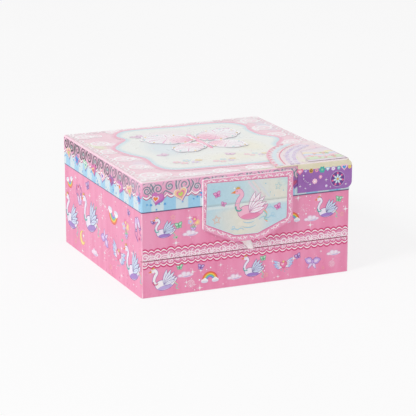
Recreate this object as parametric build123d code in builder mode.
"""Musical jewellery box with a ring drawer, a magnet flap and a pop-up ballerina.

Millimetres. +Z is up, X runs to the right and Y to the back. The origin is the centre of the
underside of the case. Everything is drawn with the lid and the drawer shut.
"""
from build123d import *
from math import cos, pi, sin
import os

# ---- Driving sizes ---------------------------------------------------------------------------
# Lid and case: greyboard covered with printed paper
lid_width = 150.0
lid_depth = 145.6
height = 78.0
lid_height = 20.4
lid_overhang = 0.3
lid_gap = 0.2
board = 2.0
wrap = 0.25
lining = 0.4
lid_edge_radius = 1.2
case_corner_radius = 0.6

# Drawer
drawer_front_height = 24.35
drawer_floor_gap = 0.4
drawer_seam = 0.55
drawer_back_gap = 0.2
tray_board = 1.5
tray_side_gap = 0.6
tray_height = 20.5
tray_back_gap = 3.7
running_gap = 0.3
pad_thickness = 1.2

# Satin pull of the drawer
ribbon_width = 4.4
ribbon_thickness = 0.35
ribbon_x = 2.2
ribbon_tail = 9.0
ribbon_rise = 5.9
ribbon_lean = 4.0
ribbon_spread = 1.4

# Upper compartments
divider_board = 1.5
divider_height = 20.0
cross_divider_y = -27.0
front_divider_x = 4.0
bay_half_width = 27.5
roll_radius = 6.2
roll_count = 3

# Front flap
flap_width = 64.4
flap_x = -0.5
flap_top_inset = 2.5
flap_ribbon_gap = 0.95
flap_tip_rise = 10.5
flap_tip_width = 20.0
flap_crease_gap = 0.3
flap_corner_radius = 0.8
magnet_radius = 5.0
magnet_thickness = 1.2
catch_radius = 6.0
catch_thickness = 0.6
magnet_rise = 7.5

# Things on and in the lid
mirror_width = 100.0
mirror_depth = 80.0
mirror_thickness = 1.8
emblem_x = 4.0
emblem_y = 15.0
emblem_span = 72.0
emblem_thickness = 1.4
card_thickness = 0.6
card_left = 36.0
card_overhang = 1.1
card_top_left = 20.0
card_top_back = -15.7
card_shoulder_x = 52.6
card_arch_x = 30.0
card_arch_y = -38.5
card_drop = 19.5
card_corner_radius = 4.5
hinge_strip_height = 10.0
hinge_strip_gap = 0.6

# Chamber of the music movement
chamber_depth = 29.0
housing_half_width = 25.0
housing_height = 22.7
housing_wall = 1.0
housing_front = 32.0
shelf_cut_half_width = 24.0

# Music movement
bed_thickness = 2.0
bed_half_width = 22.0
bed_low = 4.0
bed_high = 48.0
boss_length = 1.5
boss_radius = 3.0
screw_radius = 1.4
screw_head_radius = 2.8
screw_head_height = 1.3
screw_spread_x = 18.0
screw_inset_z = 4.0
arbor_z = 17.0
arbor_radius = 1.8
bore_gap = 0.05
barrel_radius = 11.5
barrel_wall = 0.8
barrel_length = 10.5
mainspring_strip = 0.5
mainspring_turns = 6
wheel_gap = 0.6
wheel_thickness = 1.5
crown_module = 0.9
crown_teeth = 24
crown_tooth_height = 1.5
crown_tooth_length = 2.0
crown_tooth_width = 0.9
pinion_teeth = 8
pinion_thickness = 2.4
mesh_gap = 0.15
drum_radius = 7.0
drum_low = 32.0
drum_length = 12.0
pin_radius = 0.2
pin_length = 0.6
pins_per_note = 2
note_count = 16
comb_thickness = 1.0
comb_reach = 20.0
comb_gap = 0.3
comb_tooth_share = 0.7
comb_spine = 4.0
comb_screw_radius = 1.2
train_module = 0.5
drum_wheel_teeth = 36
governor_teeth = 12
train_thickness = 1.2
spindle_radius = 1.0
governor_shaft_radius = 0.6
fan_radius = 3.8
fan_thickness = 0.5
fan_height = 8.5
bracket_thickness = 1.2
bracket_gap = 0.8
bracket_right = 4.0
bracket_left = -21.5
lever_x = -18.5
lever_behind_drum = 10.2
lever_radius = 0.8
lever_travel = 4.0
lever_arm_thickness = 0.8
key_hole_radius = 4.5
key_stem_radius = 2.8
key_stem_length = 5.0
key_lobe_radius = 5.5
key_thickness = 2.2
key_stand_off = 1.6

# Pop-up ballerina, measured from the fold of its spring
spring_seat_radius = 2.6
spring_seat_thickness = 0.8
spring_bend = 4.6
spring_coil_radius = 1.7
spring_wire_radius = 0.42
spring_coils = 9
ferrule_radius = 2.3
ferrule_length = 3.0
figure_pin_radius = 0.8
figure_height = 40.0
tutu_radius = 12.0
joint_swell = 1.08
tutu_thickness = 2.6

# ---- Places worked out from the driving sizes ------------------------------------------------
lid_x = lid_width / 2
lid_y = lid_depth / 2
lid_bottom = height - lid_height
case_x = lid_x - lid_overhang
case_y = lid_y - lid_overhang
case_top = lid_bottom - lid_gap
wall_x = case_x - wrap
wall_y = case_y - wrap
bay_x = wall_x - board
bay_y = wall_y - board
drawer_top = drawer_floor_gap + drawer_front_height
shelf_z = drawer_top + drawer_seam
deck_z = shelf_z + board
floor_z = deck_z + lining
chamber_y = bay_y - chamber_depth

tray_x = bay_x - tray_side_gap
tray_front = -bay_y - drawer_back_gap
tray_back = chamber_y - tray_back_gap
tray_low = board + running_gap

lid_board_x = lid_x - wrap
lid_board_y = lid_y - wrap
lid_ceiling = height - wrap - board
lid_bay_x = lid_board_x - board
lid_bay_y = lid_board_y - board
lining_z = lid_ceiling - lining

flap_left = flap_x - flap_width / 2
flap_right = flap_x + flap_width / 2
flap_back = -lid_y
flap_front = flap_back - board - wrap
crease_z = lid_bottom
flap_top = height - flap_top_inset
ribbon_low = drawer_top + (drawer_seam - ribbon_thickness) / 2
flap_bottom = ribbon_low + ribbon_rise + flap_ribbon_gap
flap_shoulder = flap_bottom + flap_tip_rise
magnet_z = flap_bottom + magnet_rise

bed_front = bay_y - boss_length - bed_thickness
barrel_front = bed_front - barrel_length
wheel_back = barrel_front - wheel_gap
crown_face = wheel_back - wheel_thickness
crown_radius = crown_module * crown_teeth / 2
pinion_radius = crown_module * pinion_teeth / 2
drum_y = crown_face - crown_tooth_height / 2 - pinion_radius
lever_y = drum_y + lever_behind_drum
pinion_z = arbor_z + crown_radius
drum_high = drum_low + drum_length
drum_wheel_radius = train_module * drum_wheel_teeth / 2
governor_radius = train_module * governor_teeth / 2
governor_x = -(drum_wheel_radius + governor_radius)
train_z = drum_high + bracket_gap
lower_bracket_z = drum_low - bracket_gap - bracket_thickness
upper_bracket_z = train_z + train_thickness + bracket_gap
housing_top = deck_z + housing_height
housing_y = bay_y - housing_front
key_low = case_y + key_stand_off

seat_z = housing_top + running_gap
spring_low = seat_z + spring_seat_thickness + spring_coil_radius / 8
fold_z = spring_low + spring_bend
ferrule_low = spring_bend + running_gap
figure_low = ferrule_low + ferrule_length + running_gap

FIGURE = Plane(origin=(0, drum_y, fold_z), x_dir=(1, 0, 0), z_dir=(0, -1, 0))
LOW = (Align.CENTER, Align.CENTER, Align.MIN)

os.makedirs("parts", exist_ok=True)


# ---- Helpers ---------------------------------------------------------------------------------
def slab(x, y, z, mode=Mode.ADD):
    """A block that spans three (low, high) pairs, added to the part being built."""
    with Locations(((x[0] + x[1]) / 2, (y[0] + y[1]) / 2, (z[0] + z[1]) / 2)):
        Box(x[1] - x[0], y[1] - y[0], z[1] - z[0], mode=mode)


def rod_y(x, z, radius, y, mode=Mode.ADD):
    """A round bar along Y between the two values of y."""
    with Locations(Plane(origin=(x, y[0], z), z_dir=(0, 1, 0))):
        Cylinder(radius, y[1] - y[0], align=LOW, mode=mode)


def rod_z(x, y, radius, z, mode=Mode.ADD):
    """A round bar along Z between the two values of z."""
    with Locations((x, y, z[0])):
        Cylinder(radius, z[1] - z[0], align=LOW, mode=mode)


def limb(start, end, start_radius, end_radius):
    """A tapered limb of the figure with a ball at its far end, in the figure's own frame."""
    way = Vector(*end) - Vector(*start)
    with Locations(FIGURE * Plane(origin=start, z_dir=way).location):
        Cone(start_radius, end_radius, way.length, align=LOW)
    with Locations(FIGURE * Location(end)):
        Sphere(end_radius * joint_swell)


def mirror_pair(value):
    """The two signed places of something that stands left and right of the middle."""
    return (-value, value)


def save(piece, name):
    """Label one finished piece and write its STEP file."""
    piece.label = name
    export_step(piece, f"parts/{name}.step")


# ---- Case boards -----------------------------------------------------------------------------
screw_places = [
    (x, z)
    for x in mirror_pair(screw_spread_x)
    for z in (bed_low + screw_inset_z, bed_high - screw_inset_z)
]

with BuildPart() as base_board:
    slab(mirror_pair(bay_x), (-bay_y, bay_y), (0, board))
save(base_board.part, "base_board")

with BuildPart() as left_wall:
    slab((-wall_x, -bay_x), (-bay_y, wall_y), (0, case_top))
save(left_wall.part, "left_wall")

with BuildPart() as right_wall:
    slab((bay_x, wall_x), (-bay_y, wall_y), (0, case_top))
save(right_wall.part, "right_wall")


def cut_back_holes():
    """Holes through the back of the case for the winding arbor and the movement's screws."""
    rod_y(0, arbor_z, key_hole_radius, (bay_y - board, case_y + board), Mode.SUBTRACT)
    for x, z in screw_places:
        reach = (bay_y - board, case_y + board)
        rod_y(x, z, screw_radius + running_gap, reach, Mode.SUBTRACT)


with BuildPart() as back_wall:
    slab(mirror_pair(bay_x), (bay_y, wall_y), (0, case_top))
    cut_back_holes()
save(back_wall.part, "back_wall")

with BuildPart() as front_panel:
    slab(mirror_pair(wall_x), (-wall_y, -bay_y), (shelf_z, case_top))
    catch_reach = (-wall_y, -wall_y + catch_thickness)
    rod_y(flap_x, magnet_z, catch_radius + bore_gap, catch_reach, Mode.SUBTRACT)
save(front_panel.part, "front_panel")

with BuildPart() as catch_disc:
    rod_y(flap_x, magnet_z, catch_radius, catch_reach)
save(catch_disc.part, "catch_disc")

with BuildPart() as shelf_board:
    slab(mirror_pair(bay_x), (-bay_y, bay_y), (shelf_z, deck_z))
    cut = mirror_pair(shelf_cut_half_width)
    slab(cut, (chamber_y + board, bay_y), (shelf_z, deck_z), Mode.SUBTRACT)
save(shelf_board.part, "shelf_board")

with BuildPart() as chamber_board:
    slab(mirror_pair(bay_x), (chamber_y, chamber_y + board), (board, shelf_z))
save(chamber_board.part, "chamber_board")

# ---- Printed paper round the case: four sides above the drawer, three beside it ----------------
with BuildPart() as case_wrap:
    slab(mirror_pair(case_x), mirror_pair(case_y), (0, case_top))
    fillet(case_wrap.edges().filter_by(Axis.Z), case_corner_radius)
    slab(mirror_pair(wall_x), mirror_pair(wall_y), (0, case_top), Mode.SUBTRACT)
    slab(mirror_pair(lid_x), (-lid_y, -bay_y), (0, shelf_z), Mode.SUBTRACT)
    cut_back_holes()
save(case_wrap.part, "case_wrap")

with BuildPart() as case_lining:
    slab(mirror_pair(bay_x), mirror_pair(bay_y), (deck_z, case_top))
    inner_x = bay_x - lining
    inner_y = bay_y - lining
    slab(mirror_pair(inner_x), mirror_pair(inner_y), (floor_z, case_top), Mode.SUBTRACT)
    housing_bite = mirror_pair(housing_half_width + lining)
    slab(housing_bite, (housing_y - lining, bay_y), (deck_z, case_top), Mode.SUBTRACT)
save(case_lining.part, "case_lining")

# ---- Drawer ----------------------------------------------------------------------------------
front_outer = (mirror_pair(case_x), (-case_y, tray_front), (drawer_floor_gap, drawer_top))
front_inner = (
    mirror_pair(wall_x),
    (-wall_y, tray_front),
    (drawer_floor_gap + wrap, drawer_top - wrap),
)

with BuildPart() as drawer_front:
    slab(*front_inner)
save(drawer_front.part, "drawer_front")

with BuildPart() as drawer_front_wrap:
    slab(*front_outer)
    front_uprights = drawer_front_wrap.edges().filter_by(Axis.Z).group_by(Axis.Y)[0]
    fillet(front_uprights, case_corner_radius)
    slab(*front_inner, mode=Mode.SUBTRACT)
save(drawer_front_wrap.part, "drawer_front_wrap")

with BuildPart() as drawer_tray:
    slab(mirror_pair(tray_x), (tray_front, tray_back), (tray_low, tray_low + tray_height))
    hollow_x = mirror_pair(tray_x - tray_board)
    hollow_y = (tray_front + tray_board, tray_back - tray_board)
    tray_floor = tray_low + tray_board
    slab(hollow_x, hollow_y, (tray_floor, tray_low + tray_height), Mode.SUBTRACT)
save(drawer_tray.part, "drawer_tray")

with BuildPart() as drawer_pad:
    slab(
        mirror_pair(tray_x - tray_board - running_gap),
        (tray_front + tray_board + running_gap + ribbon_thickness, hollow_y[1] - running_gap),
        (tray_floor, tray_floor + pad_thickness),
    )
save(drawer_pad.part, "drawer_pad")

# The pull is glued inside the tray, passes over the drawer front and stands up outside it.
with BuildPart() as ribbon_pull:
    ribbon_high = ribbon_low + ribbon_thickness
    ribbon_span = (ribbon_x - ribbon_width / 2, ribbon_x + ribbon_width / 2)
    tail_front = tray_front + tray_board
    outside = -case_y - running_gap
    slab(ribbon_span, (outside - ribbon_thickness, tail_front), (ribbon_low, ribbon_high))
    tail_span = (tail_front, tail_front + ribbon_thickness)
    slab(ribbon_span, tail_span, (ribbon_high - ribbon_tail, ribbon_high))
    with BuildSketch(Plane.XZ.offset(-outside)):
        Polygon(
            (ribbon_span[0], ribbon_low),
            (ribbon_span[1], ribbon_low),
            (ribbon_span[1] - ribbon_lean + ribbon_spread, ribbon_low + ribbon_rise),
            (ribbon_span[0] - ribbon_lean - ribbon_spread, ribbon_low + ribbon_rise),
            align=None,
        )
    extrude(amount=ribbon_thickness)
save(ribbon_pull.part, "ribbon_pull")

# ---- Dividers and ring rolls -----------------------------------------------------------------
divider_z = (floor_z, floor_z + divider_height)
divider_inner_x = bay_x - lining
divider_inner_y = bay_y - lining
cross_back = cross_divider_y + divider_board

with BuildPart() as cross_divider:
    slab(mirror_pair(divider_inner_x), (cross_divider_y, cross_back), divider_z)
save(cross_divider.part, "cross_divider")

with BuildPart() as front_divider:
    front_divider_span = (front_divider_x, front_divider_x + divider_board)
    slab(front_divider_span, (-divider_inner_y, cross_divider_y), divider_z)
save(front_divider.part, "front_divider")

for side, name in ((-1, "left_divider"), (1, "right_divider")):
    with BuildPart() as bay_divider:
        near = side * bay_half_width
        far = side * (bay_half_width + divider_board)
        slab((min(near, far), max(near, far)), (cross_back, divider_inner_y), divider_z)
    save(bay_divider.part, name)

with BuildPart() as ring_rolls:
    roll_low = front_divider_span[1] + running_gap
    roll_length = divider_inner_x - running_gap - roll_low
    roll_room = cross_divider_y + divider_inner_y
    roll_pitch = roll_room / roll_count
    for index in range(roll_count):
        roll_y = -divider_inner_y + roll_pitch * (index + 0.5)
        roll_z = floor_z + running_gap + roll_radius
        with Locations(Plane(origin=(roll_low, roll_y, roll_z), z_dir=(1, 0, 0))):
            Cylinder(roll_radius, roll_length, align=LOW)
save(ring_rolls.part, "ring_rolls")

# ---- Lid -------------------------------------------------------------------------------------
inner_radius = lid_edge_radius - wrap

with BuildPart() as lid_top_board:
    slab(mirror_pair(lid_board_x), mirror_pair(lid_board_y), (lid_ceiling, height - wrap))
    fillet(lid_top_board.edges().filter_by(Axis.Z), inner_radius)
    fillet(lid_top_board.faces().sort_by(Axis.Z)[-1].edges(), inner_radius)
save(lid_top_board.part, "lid_top_board")

for side, name in ((-1, "lid_front_board"), (1, "lid_back_board")):
    with BuildPart() as rim_board:
        near = side * lid_bay_y
        far = side * lid_board_y
        slab(
            mirror_pair(lid_board_x),
            (min(near, far), max(near, far)),
            (lid_bottom, lid_ceiling),
        )
        outer_edges = rim_board.edges().filter_by(Axis.Z).group_by(Axis.Y)
        fillet(outer_edges[0] if side < 0 else outer_edges[-1], inner_radius)
    save(rim_board.part, name)

with BuildPart() as lid_side_boards:
    for near, far in ((-lid_board_x, -lid_bay_x), (lid_bay_x, lid_board_x)):
        slab((near, far), mirror_pair(lid_bay_y), (lid_bottom, lid_ceiling))
save(lid_side_boards.part, "lid_side_boards")

with BuildPart() as lid_wrap:
    slab(mirror_pair(lid_x), mirror_pair(lid_y), (lid_bottom, height))
    fillet(lid_wrap.edges().filter_by(Axis.Z), lid_edge_radius)
    fillet(lid_wrap.faces().sort_by(Axis.Z)[-1].edges(), lid_edge_radius)
    with BuildPart(mode=Mode.PRIVATE) as lid_core:
        slab(mirror_pair(lid_board_x), mirror_pair(lid_board_y), (lid_bottom, height - wrap))
        fillet(lid_core.edges().filter_by(Axis.Z), inner_radius)
        fillet(lid_core.faces().sort_by(Axis.Z)[-1].edges(), inner_radius)
    add(lid_core.part, mode=Mode.SUBTRACT)
save(lid_wrap.part, "lid_wrap")

with BuildPart() as lid_lining:
    slab(mirror_pair(lid_bay_x), mirror_pair(lid_bay_y), (lid_bottom, lid_ceiling))
    lined_x = lid_bay_x - lining
    lined_y = lid_bay_y - lining
    slab(mirror_pair(lined_x), mirror_pair(lined_y), (lid_bottom, lining_z), Mode.SUBTRACT)
save(lid_lining.part, "lid_lining")

with BuildPart() as mirror_glass:
    mirror_z = lining_z - mirror_thickness
    slab(mirror_pair(mirror_width / 2), mirror_pair(mirror_depth / 2), (mirror_z, lining_z))
save(mirror_glass.part, "mirror")

# A die-cut foil butterfly, glued on the lid: four wings that overlap at a slim body.
with BuildPart() as lid_emblem:
    with BuildSketch(Plane((emblem_x, emblem_y, height))):
        for side in (-1, 1):
            with Locations(Location((side * emblem_span * 0.25, emblem_span * 0.17), side * 28)):
                Ellipse(emblem_span * 0.27, emblem_span * 0.19)
            with Locations(Location((side * emblem_span * 0.19, -emblem_span * 0.2), -side * 38)):
                Ellipse(emblem_span * 0.2, emblem_span * 0.15)
        Ellipse(emblem_span * 0.045, emblem_span * 0.3)
    extrude(amount=emblem_thickness)
save(lid_emblem.part, "lid_emblem")

# A thin card folded over the right front edge of the lid and stuck on at both faces.
with BuildPart() as promo_card:
    card_front = -lid_y - card_thickness
    card_right = lid_x + card_overhang
    with BuildSketch(Plane.XY.offset(height)):
        with BuildLine():
            arch = ThreePointArc(
                (card_top_left, card_front),
                (card_arch_x, card_arch_y),
                (card_shoulder_x, card_top_back),
            )
            Line(arch @ 1, (lid_x, card_top_back))
            Line((lid_x, card_top_back), (lid_x, card_front))
            Line((lid_x, card_front), arch @ 0)
        make_face()
    extrude(amount=card_thickness)
    with BuildSketch(Plane.XZ.offset(lid_y)) as card_drop_face:
        card_high = height + card_thickness
        with Locations(((card_left + card_right) / 2, card_high - card_drop / 2)):
            Rectangle(card_right - card_left, card_drop)
        right_corners = card_drop_face.vertices().group_by(Axis.X)[-1]
        fillet(right_corners, card_corner_radius)
    extrude(amount=card_thickness)
save(promo_card.part, "promo_card")

# ---- Flap: an upper plate glued to the lid and a tongue that swings on the crease ---------------
plate_low = crease_z + flap_crease_gap / 2
tongue_high = crease_z - flap_crease_gap / 2


def flap_plate_outline(margin):
    """The rectangle of the glued half, drawn in by a margin."""
    with Locations((flap_x, (plate_low + flap_top) / 2)):
        Rectangle(flap_width - 2 * margin, flap_top - plate_low - 2 * margin)


def flap_tongue_points(margin):
    """The five-sided tongue, drawn in by a margin."""
    tip = flap_tip_width / 2
    return [
        (flap_left + margin, tongue_high - margin),
        (flap_left + margin, flap_shoulder + margin / 2),
        (flap_x - tip, flap_bottom + margin),
        (flap_x + tip, flap_bottom + margin),
        (flap_right - margin, flap_shoulder + margin / 2),
        (flap_right - margin, tongue_high - margin),
    ]


with BuildPart() as flap_plate:
    with BuildSketch(Plane.XZ.offset(-flap_back)):
        flap_plate_outline(wrap)
    extrude(amount=board)
save(flap_plate.part, "flap_plate")

with BuildPart() as flap_plate_cover:
    with BuildSketch(Plane.XZ.offset(-flap_back)):
        flap_plate_outline(0)
    extrude(amount=board + wrap)
    fillet(
        flap_plate_cover.edges().filter_by(Axis.Y).group_by(Axis.Z)[-1], flap_corner_radius
    )
    with BuildSketch(Plane.XZ.offset(-flap_back)):
        flap_plate_outline(wrap)
    extrude(amount=board, mode=Mode.SUBTRACT)
save(flap_plate_cover.part, "flap_plate_cover")

with BuildPart() as flap_tongue:
    with BuildSketch(Plane.XZ.offset(-flap_back)):
        Polygon(*flap_tongue_points(wrap), align=None)
    extrude(amount=board)
    magnet_reach = (flap_back - magnet_thickness, flap_back)
    rod_y(flap_x, magnet_z, magnet_radius + bore_gap, magnet_reach, Mode.SUBTRACT)
save(flap_tongue.part, "flap_tongue")

with BuildPart() as flap_tongue_cover:
    with BuildSketch(Plane.XZ.offset(-flap_back)):
        Polygon(*flap_tongue_points(0), align=None)
    extrude(amount=board + wrap)
    low_corners = flap_tongue_cover.edges().filter_by(Axis.Y).group_by(Axis.Z)[:-1]
    fillet([edge for group in low_corners for edge in group], flap_corner_radius)
    with BuildSketch(Plane.XZ.offset(-flap_back)):
        Polygon(*flap_tongue_points(wrap), align=None)
    extrude(amount=board, mode=Mode.SUBTRACT)
save(flap_tongue_cover.part, "flap_tongue_cover")

with BuildPart() as flap_magnet:
    rod_y(flap_x, magnet_z, magnet_radius, magnet_reach)
save(flap_magnet.part, "flap_magnet")

# ---- Cloth hinge at the back: one leaf on the case, one on the lid -----------------------------
with BuildPart() as hinge_strip_case:
    slab(
        mirror_pair(case_x - lid_edge_radius),
        (case_y, case_y + wrap),
        (bed_high - screw_inset_z + screw_head_radius + hinge_strip_gap, case_top),
    )
save(hinge_strip_case.part, "hinge_strip_case")

with BuildPart() as hinge_strip_lid:
    slab(
        mirror_pair(case_x - lid_edge_radius),
        (lid_y, lid_y + wrap),
        (lid_bottom, lid_bottom + hinge_strip_height),
    )
save(hinge_strip_lid.part, "hinge_strip_lid")

# ---- Music movement: frame and spring ----------------------------------------------------------
with BuildPart() as bedplate:
    bed_back = bed_front + bed_thickness
    slab(mirror_pair(bed_half_width), (bed_front, bed_back), (bed_low, bed_high))
    for x, z in screw_places:
        rod_y(x, z, boss_radius, (bed_back, bay_y))
        rod_y(x, z, screw_radius + bore_gap, (bed_front, bay_y), Mode.SUBTRACT)
    rod_y(0, arbor_z, arbor_radius + bore_gap, (bed_front, bed_back), Mode.SUBTRACT)
save(bedplate.part, "bedplate")

with BuildPart() as movement_screws:
    for x, z in screw_places:
        rod_y(x, z, screw_radius, (bed_back, case_y))
        rod_y(x, z, screw_head_radius, (case_y, case_y + screw_head_height))
save(movement_screws.part, "movement_screws")

with BuildPart() as spring_barrel:
    rod_y(0, arbor_z, barrel_radius, (barrel_front, bed_front))
    hollow = (barrel_front + barrel_wall, bed_front)
    rod_y(0, arbor_z, barrel_radius - barrel_wall, hollow, Mode.SUBTRACT)
    mouth = (barrel_front, barrel_front + barrel_wall)
    rod_y(0, arbor_z, arbor_radius + running_gap, mouth, Mode.SUBTRACT)
save(spring_barrel.part, "spring_barrel")


def spiral_path(start, growth, half_turns):
    """A flat spiral of half circles, each tangent to the one before."""
    for index in range(half_turns):
        radius = start + growth * index / 2
        centre = growth / 2 * (index % 2)
        CenterArc((centre, 0), radius, 180 * (index % 2), 180)


with BuildPart() as mainspring:
    spring_start = arbor_radius + bore_gap + mainspring_strip / 2
    spring_end = barrel_radius - barrel_wall - bore_gap - mainspring_strip / 2
    coil_growth = (spring_end - spring_start) / mainspring_turns
    spring_inset = barrel_wall + running_gap
    spring_width = barrel_length - 2 * spring_inset
    spiral_plane = Plane(origin=(0, bed_front - spring_inset, arbor_z), z_dir=(0, -1, 0))
    with BuildLine(spiral_plane) as spiral:
        spiral_path(spring_start, coil_growth, 2 * mainspring_turns)
    strip_middle = spiral_plane.origin + spiral_plane.x_dir * spring_start
    strip_plane = Plane(
        origin=strip_middle - Vector(0, spring_width / 2, 0),
        x_dir=spiral_plane.x_dir,
        z_dir=spiral.line % 0,
    )
    with BuildSketch(strip_plane):
        Rectangle(mainspring_strip, spring_width)
    sweep(path=spiral.line.moved(Location((0, -spring_width / 2, 0))))
save(mainspring.part, "mainspring")

with BuildPart() as winding_arbor:
    key_end = key_low + key_stem_length - arbor_radius
    rod_y(0, arbor_z, arbor_radius, (crown_face, key_end))
save(winding_arbor.part, "winding_arbor")

with BuildPart() as great_wheel:
    wheel_rim = crown_radius + crown_tooth_length / 2
    rod_y(0, arbor_z, wheel_rim, (crown_face, wheel_back))
    crown_plane = Plane(origin=(0, crown_face, arbor_z), x_dir=(1, 0, 0), z_dir=(0, -1, 0))
    with BuildSketch(crown_plane):
        with PolarLocations(crown_radius, crown_teeth, start_angle=180 / crown_teeth):
            Rectangle(crown_tooth_length, crown_tooth_width)
    extrude(amount=crown_tooth_height)
    rod_y(0, arbor_z, arbor_radius + bore_gap, (crown_face, wheel_back), Mode.SUBTRACT)
save(great_wheel.part, "great_wheel")

with BuildPart() as winding_key:
    rod_y(0, arbor_z, key_stem_radius, (key_low, key_low + key_stem_length))
    lobe_y = key_low + key_stem_length + key_lobe_radius - arbor_radius
    with BuildSketch(Plane.XY.offset(arbor_z - key_thickness / 2)):
        with Locations((-key_lobe_radius, lobe_y), (key_lobe_radius, lobe_y)):
            Circle(key_lobe_radius)
        with Locations((0, lobe_y)):
            Rectangle(key_lobe_radius, key_lobe_radius)
        with Locations((-key_lobe_radius, lobe_y), (key_lobe_radius, lobe_y)):
            Circle(key_lobe_radius / 3, mode=Mode.SUBTRACT)
    extrude(amount=key_thickness)
    rod_y(0, arbor_z, arbor_radius + bore_gap, (key_low, key_end), Mode.SUBTRACT)
save(winding_key.part, "winding_key")


# ---- Music movement: drum, comb and governor ---------------------------------------------------
def gear_outline(radius, teeth, pitch):
    """A spur gear drawn as a root disc with tapered teeth; pitch is the arc from tooth to tooth."""
    root = radius - 0.3 * pitch
    tip = radius + 0.22 * pitch
    wide = 0.46 * pitch
    narrow = 0.26 * pitch
    Circle(root)
    with PolarLocations(0, teeth):
        Polygon(
            (root * 0.9, -wide / 2),
            (tip, -narrow / 2),
            (tip, narrow / 2),
            (root * 0.9, wide / 2),
            align=None,
        )


train_pitch = pi * train_module

with BuildPart() as pin_drum:
    rod_z(0, drum_y, drum_radius, (drum_low, drum_high))
    note_pitch = drum_length / note_count
    golden_turn = 137.5
    for note in range(note_count):
        pin_z = drum_low + note_pitch * (note + 0.5)
        for copy in range(pins_per_note):
            turn = (note * pins_per_note + copy) * golden_turn + 20
            reach = drum_radius - pin_length
            way = Vector(cos(turn * pi / 180), sin(turn * pi / 180), 0)
            foot = Vector(0, drum_y, pin_z) + way * reach
            with Locations(Plane(origin=foot, z_dir=way)):
                Cylinder(pin_radius, 2 * pin_length, align=LOW)
    rod_z(0, drum_y, spindle_radius + bore_gap, (drum_low, drum_high), Mode.SUBTRACT)
save(pin_drum.part, "pin_drum")

with BuildPart() as drum_pinion:
    pinion_low = pinion_z - pinion_thickness / 2
    with BuildSketch(Plane((0, drum_y, pinion_low))):
        Circle(pinion_radius - crown_tooth_height / 2 - mesh_gap)
        with PolarLocations(0, pinion_teeth, start_angle=90):
            tooth_root = spindle_radius + bore_gap + mesh_gap
            tooth_tip = pinion_radius + crown_tooth_height / 2 - mesh_gap
            with Locations(((tooth_root + tooth_tip) / 2, 0)):
                Rectangle(tooth_tip - tooth_root, crown_tooth_width)
        Circle(spindle_radius + bore_gap, mode=Mode.SUBTRACT)
    extrude(amount=pinion_thickness)
save(drum_pinion.part, "drum_pinion")

with BuildPart() as drum_wheel:
    with BuildSketch(Plane((0, drum_y, train_z))):
        gear_outline(drum_wheel_radius, drum_wheel_teeth, train_pitch)
        Circle(spindle_radius + bore_gap, mode=Mode.SUBTRACT)
    extrude(amount=train_thickness)
save(drum_wheel.part, "drum_wheel")

with BuildPart() as drum_spindle:
    spindle_low = pinion_low - bracket_gap
    rod_z(0, drum_y, spindle_radius, (spindle_low, seat_z))
    rod_z(0, drum_y, spring_seat_radius, (seat_z, seat_z + spring_seat_thickness))
save(drum_spindle.part, "drum_spindle")

with BuildPart() as governor:
    governor_low = lower_bracket_z - bracket_gap
    governor_high = upper_bracket_z + bracket_thickness + bracket_gap
    rod_z(governor_x, drum_y, governor_shaft_radius, (governor_low, governor_high))
    disc_low = drum_low - bracket_gap / 2
    rod_z(governor_x, drum_y, fan_radius, (disc_low, drum_low + bracket_gap / 2))
    fan_span = (drum_low, drum_low + fan_height)
    blade_x = (governor_x - fan_radius, governor_x + fan_radius)
    blade_y = (drum_y - fan_thickness / 2, drum_y + fan_thickness / 2)
    slab(blade_x, blade_y, fan_span)
    with BuildSketch(Plane((governor_x, drum_y, train_z))):
        with Locations(Location((0, 0), 180 / governor_teeth)):
            gear_outline(governor_radius, governor_teeth, train_pitch)
    extrude(amount=train_thickness)
save(governor.part, "governor")


def bracket(low):
    """A plate out of the bedplate with the bearings of the drum, the governor and the lever."""
    plate = (low, low + bracket_thickness)
    front = drum_y - spindle_radius - bracket_thickness
    slab((bracket_left, bracket_right), (front, bed_front), plate)
    rod_z(0, drum_y, spindle_radius + bore_gap, plate, Mode.SUBTRACT)
    rod_z(governor_x, drum_y, governor_shaft_radius + bore_gap, plate, Mode.SUBTRACT)
    rod_z(lever_x, lever_y, lever_radius + bore_gap, plate, Mode.SUBTRACT)


with BuildPart() as lower_bracket:
    bracket(lower_bracket_z)
save(lower_bracket.part, "lower_bracket")

with BuildPart() as upper_bracket:
    bracket(upper_bracket_z)
save(upper_bracket.part, "upper_bracket")

with BuildPart() as comb:
    comb_y = (drum_y - comb_thickness / 2, drum_y + comb_thickness / 2)
    comb_tip = drum_radius + pin_length + comb_gap
    slab((comb_reach - comb_spine, comb_reach), comb_y, (drum_low, drum_high))
    tooth = note_pitch * comb_tooth_share
    for note in range(note_count):
        low = drum_low + note_pitch * (note + 0.5) - tooth / 2
        slab((comb_tip, comb_reach - comb_spine), comb_y, (low, low + tooth))
    comb_screw_x = comb_reach - comb_spine / 2
    comb_screw_z = [drum_low + drum_length * share for share in (0.2, 0.8)]
    for z in comb_screw_z:
        rod_y(comb_screw_x, z, comb_screw_radius + bore_gap, comb_y, Mode.SUBTRACT)
save(comb.part, "comb")

with BuildPart() as comb_block:
    block_y = (comb_y[1], bed_front)
    slab((comb_reach - comb_spine, comb_reach), block_y, (drum_low, drum_high))
    screw_end = comb_y[1] + 3 * comb_screw_radius
    for z in comb_screw_z:
        hole = (comb_y[1], screw_end)
        rod_y(comb_screw_x, z, comb_screw_radius + bore_gap, hole, Mode.SUBTRACT)
save(comb_block.part, "comb_block")

with BuildPart() as comb_screws:
    for z in comb_screw_z:
        head_low = comb_y[0] - comb_screw_radius
        rod_y(comb_screw_x, z, comb_screw_radius, (comb_y[0], screw_end))
        rod_y(comb_screw_x, z, comb_screw_radius * 1.6, (head_low, comb_y[0]))
save(comb_screws.part, "comb_screws")

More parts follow.
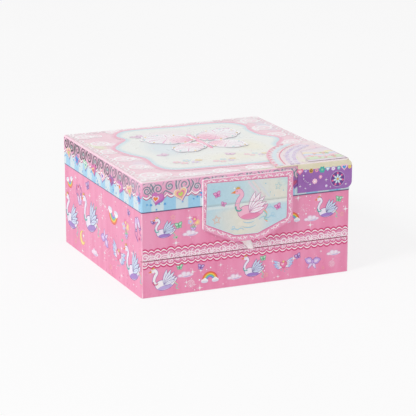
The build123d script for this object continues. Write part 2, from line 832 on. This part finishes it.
# A wire plunger: the shut lid holds it down and its arm then stands at the governor's disc.
with BuildPart() as stop_lever:
    lever_low = lower_bracket_z - lever_travel - bracket_gap
    lever_top = lining_z - running_gap
    rod_z(lever_x, lever_y, lever_radius, (lever_low, lever_top - lever_radius))
    with Locations((lever_x, lever_y, lever_top - lever_radius)):
        Sphere(lever_radius)
    arm_z = (disc_low, disc_low + lever_arm_thickness)
    arm_left = lever_x - lever_radius / 2
    arm_y = drum_y + fan_radius + running_gap + bore_gap
    slab((arm_left, governor_x), (arm_y, arm_y + lever_radius), arm_z)
    slab((arm_left, lever_x + lever_radius / 2), (arm_y, lever_y), arm_z)
save(stop_lever.part, "stop_lever")

with BuildPart() as movement_housing:
    slab(mirror_pair(housing_half_width), (housing_y, bay_y), (deck_z, housing_top))
    room_x = mirror_pair(housing_half_width - housing_wall)
    room = (housing_y + housing_wall, bay_y)
    slab(room_x, room, (deck_z, housing_top - housing_wall), Mode.SUBTRACT)
    roof = (housing_top - housing_wall, housing_top)
    rod_z(0, drum_y, spindle_radius + running_gap, roof, Mode.SUBTRACT)
    rod_z(lever_x, lever_y, lever_radius + running_gap, roof, Mode.SUBTRACT)
save(movement_housing.part, "movement_housing")

# ---- Pop-up ballerina, folded forward under the shut lid ----------------------------------------
# The spring is a close coil bent through a quarter turn, drawn as rings round its bent middle line.
with BuildPart() as figure_spring:
    for index in range(spring_coils):
        turn = pi / 2 * (index + 0.5) / spring_coils
        centre = Vector(
            0,
            drum_y - spring_bend * (1 - cos(turn)),
            spring_low + spring_bend * sin(turn),
        )
        with Locations(Plane(origin=centre, z_dir=(0, -sin(turn), cos(turn)))):
            Torus(spring_coil_radius, spring_wire_radius)
            Cylinder(spring_coil_radius, spring_wire_radius)
save(figure_spring.part, "figure_spring")

with BuildPart(FIGURE) as spring_ferrule:
    with Locations((0, 0, ferrule_low)):
        Cylinder(ferrule_radius, ferrule_length, align=LOW)
        Cylinder(figure_pin_radius + bore_gap, ferrule_length, align=LOW, mode=Mode.SUBTRACT)
save(spring_ferrule.part, "spring_ferrule")


def up(share):
    """A height on the figure, as a share of it, above the fold of the spring."""
    return figure_low + figure_height * share


leg_radius = figure_height * 0.035
hip_radius = figure_height * 0.06
waist_radius = figure_height * 0.045
chest_radius = figure_height * 0.062
neck_radius = figure_height * 0.02
head_radius = figure_height * 0.062
hand_radius = figure_height * 0.014
hip = up(0.5)
shoulder = up(0.74)

with BuildPart() as ballerina:
    side_view = Plane(origin=FIGURE.origin, x_dir=(1, 0, 0), z_dir=(0, 0, -1))
    with BuildSketch(side_view):
        with BuildLine():
            foot = Line((0, figure_low), (leg_radius * 1.4, figure_low))
            ankle = Line(foot @ 1, (leg_radius * 0.6, up(0.04)))
            calf = Spline(
                ankle @ 1,
                (leg_radius, up(0.18)),
                (leg_radius * 0.9, up(0.28)),
                (leg_radius * 1.3, up(0.4)),
                (hip_radius, hip),
                (waist_radius, up(0.6)),
                (chest_radius, up(0.7)),
                (chest_radius * 0.75, up(0.76)),
                (neck_radius, up(0.8)),
                (neck_radius, up(0.815)),
            )
            crown = (0, up(0.875) + head_radius)
            ThreePointArc(calf @ 1, (head_radius, up(0.875)), crown)
            Line(crown, foot @ 0)
        make_face()
    revolve(axis=Axis(FIGURE.origin, FIGURE.z_dir))
    with Locations(FIGURE * Location((0, 0, ferrule_low + running_gap))):
        Cylinder(figure_pin_radius, figure_low - ferrule_low, align=LOW)
    with Locations(FIGURE * Location((0, head_radius * 0.5, up(0.875) + head_radius))):
        Sphere(head_radius * 0.5)
    knee = (figure_height * 0.14, -leg_radius, up(0.38))
    toe = (leg_radius * 1.2, -leg_radius * 0.8, up(0.25))
    limb((leg_radius * 0.5, 0, hip), knee, leg_radius * 1.2, leg_radius * 0.9)
    limb(knee, toe, leg_radius * 0.8, leg_radius * 0.5)
    for side in (-1, 1):
        elbow = (side * figure_height * 0.13, -hand_radius, up(0.87))
        hand = (side * hand_radius * 1.5, -hand_radius, up(0.985))
        limb((side * chest_radius * 0.5, 0, shoulder), elbow, hand_radius * 1.5, hand_radius)
        limb(elbow, hand, hand_radius * 0.95, hand_radius * 0.8)
save(ballerina.part, "ballerina")

with BuildPart(FIGURE) as tutu:
    waist_hole = hip_radius + running_gap
    with Locations((0, 0, up(0.54))):
        Cone(tutu_radius, 1.8 * hip_radius, tutu_thickness, align=LOW)
        Cylinder(waist_hole, tutu_thickness, align=LOW, mode=Mode.SUBTRACT)
save(tutu.part, "tutu")
